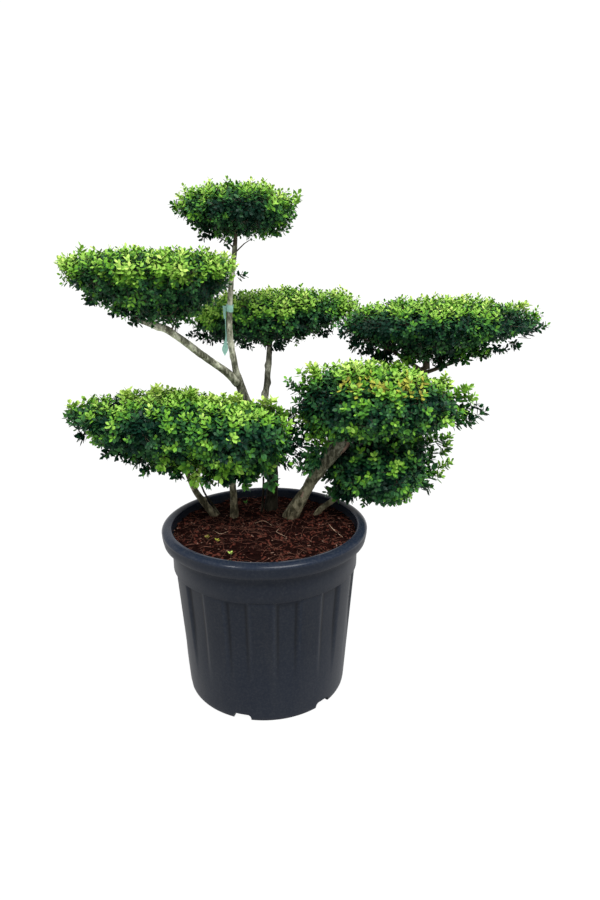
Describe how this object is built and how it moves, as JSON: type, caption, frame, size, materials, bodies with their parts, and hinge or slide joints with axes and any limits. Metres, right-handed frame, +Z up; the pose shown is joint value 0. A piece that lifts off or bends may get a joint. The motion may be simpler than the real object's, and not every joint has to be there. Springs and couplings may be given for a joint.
{
  "type": "potted japanese holly clipped into cloud pads",
  "caption": "Small evergreen tree clipped into flat cloud pads on bare twisting stems, growing in a round black ribbed nursery pot.",
  "frame": {"origin": "on the pot's axis, in the plane of its flat underside", "axes": "+Z up, along the pot's axis; +X to the viewer's right; the viewer's side of the plant is -Y"},
  "size_m": [1.383, 0.748, 1.4586],
  "materials": {
    "pot_plastic": "satin black nursery plastic",
    "soil_bark": "coarse reddish bark and coir compost",
    "bark": "grey-brown bark, lightly fissured",
    "tie_plastic": "soft pale green plastic",
    "foliage": "small glossy evergreen leaves, lime green at the tips"
  },
  "bodies": {
    "root": {"pot": "pot_plastic", "soil": "soil_bark", "stem_far_left": "bark", "stem_front_left": "bark", "trunk_middle": "bark", "stem_top": "bark", "stem_back": "bark", "bough_upper_left": "bark", "trunk_right": "bark", "bough_right": "bark", "bough_centre_right": "bark", "stem_low_right": "bark", "shoot_far_left": "bark", "shoot_middle": "bark", "label_tie": "tie_plastic", "crown_top": "foliage", "crown_upper_left": "foliage", "crown_back": "foliage", "crown_right": "foliage", "crown_far_left": "foliage", "crown_front_left": "foliage", "crown_centre_right": "foliage", "crown_low_right": "foliage"}
  },
  "joints": []
}
